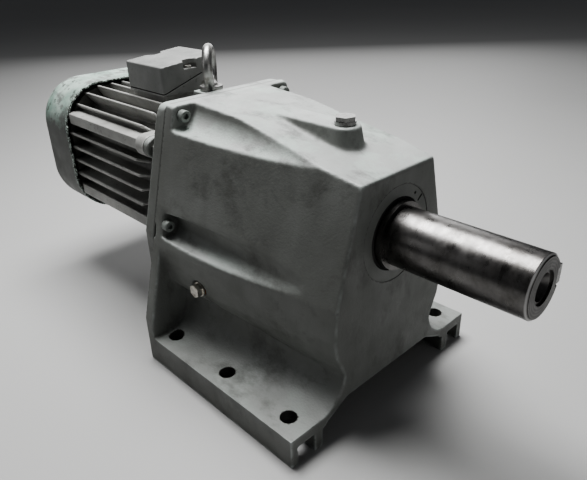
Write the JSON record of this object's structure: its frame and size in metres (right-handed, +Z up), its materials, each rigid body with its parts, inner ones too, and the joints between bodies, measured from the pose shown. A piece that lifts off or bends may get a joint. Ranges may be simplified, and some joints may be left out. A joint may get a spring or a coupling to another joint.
{
  "type": "inline helical gear reducer with motor",
  "caption": "Foot-mounted inline helical gear reducer with a keyed output shaft, driven by its own flange-mounted finned electric motor.",
  "frame": {"origin": "centre of the foot bolt pattern, on the plane the feet stand on", "axes": "+X along the output shaft towards its tip, +Z up from the foot plane, +Y across the feet"},
  "size_m": [0.7203, 0.3, 0.354],
  "materials": {
    "housing_paint": "worn grey-green paint over cast iron",
    "gasket": "dark",
    "bolt_steel": "dull, worn",
    "shaft_steel": "ground and polished by handling",
    "inner_steel": "ground, oiled",
    "laminations": "matt",
    "winding_copper": "varnished",
    "motor_alloy": "dusty casting",
    "cover_paint": "pale green paint, worn",
    "box_alloy": "dusty casting",
    "black_plastic": "matt",
    "vent_black": "satin black",
    "brass_fittings": "dull"
  },
  "bodies": {
    "housing": {"gear_housing": "housing_paint", "housing_gasket": "gasket", "motor_adapter": "housing_paint", "adapter_screws": "bolt_steel", "output_front_bearing": "inner_steel", "output_rear_bearing": "inner_steel", "output_seal": "housing_paint", "intermediate_front_bearing": "inner_steel", "intermediate_rear_bearing": "inner_steel", "motor_front_bearing": "inner_steel", "motor_rear_bearing": "inner_steel", "motor_seal": "gasket", "wave_washer": "inner_steel", "stator_housing": "motor_alloy", "stator_core": "laminations", "stator_winding": "winding_copper", "rear_endshield": "motor_alloy", "tie_bolts": "bolt_steel", "fan_cover": "cover_paint", "fan_cover_screws": "bolt_steel", "terminal_box_base": "box_alloy", "terminal_box_gasket": "gasket", "terminal_box_cover": "box_alloy", "terminal_cover_screws": "bolt_steel", "terminal_board": "black_plastic", "terminal_studs": "brass_fittings", "cable_entry_plug": "black_plastic", "earth_screw": "brass_fittings", "lifting_eye": "bolt_steel", "vent_plug": "vent_black", "vent_washer": "box_alloy", "level_plug": "bolt_steel", "level_washer": "winding_copper"},
    "output": {"output_shaft": "shaft_steel", "output_key": "shaft_steel", "output_gear": "inner_steel", "output_gear_key": "inner_steel", "output_spacer": "inner_steel"},
    "intermediate": {"intermediate_shaft": "inner_steel", "intermediate_gear": "inner_steel", "intermediate_key": "inner_steel", "intermediate_circlip": "inner_steel"},
    "rotor": {"motor_shaft": "inner_steel", "input_pinion": "inner_steel", "input_pinion_key": "inner_steel", "rotor_core": "laminations", "fan": "black_plastic", "fan_circlip": "inner_steel"}
  },
  "joints": [
    {"name": "output_spin", "type": "hinge", "parent": "housing", "child": "output", "pos_m": [0, 0, 0.2], "axis": [1, 0, 0], "continuous": true},
    {"name": "intermediate_spin", "type": "hinge", "parent": "housing", "child": "intermediate", "pos_m": [0, 0, 0.12], "axis": [1, 0, 0], "continuous": true},
    {"name": "rotor_spin", "type": "hinge", "parent": "housing", "child": "rotor", "pos_m": [0, 0, 0.2], "axis": [1, 0, 0], "continuous": true}
  ],
  "couplings": [
    {"joint": "intermediate_spin", "follows": "output_spin", "ratio": -2.7647},
    {"joint": "rotor_spin", "follows": "output_spin", "ratio": 9.0314}
  ]
}
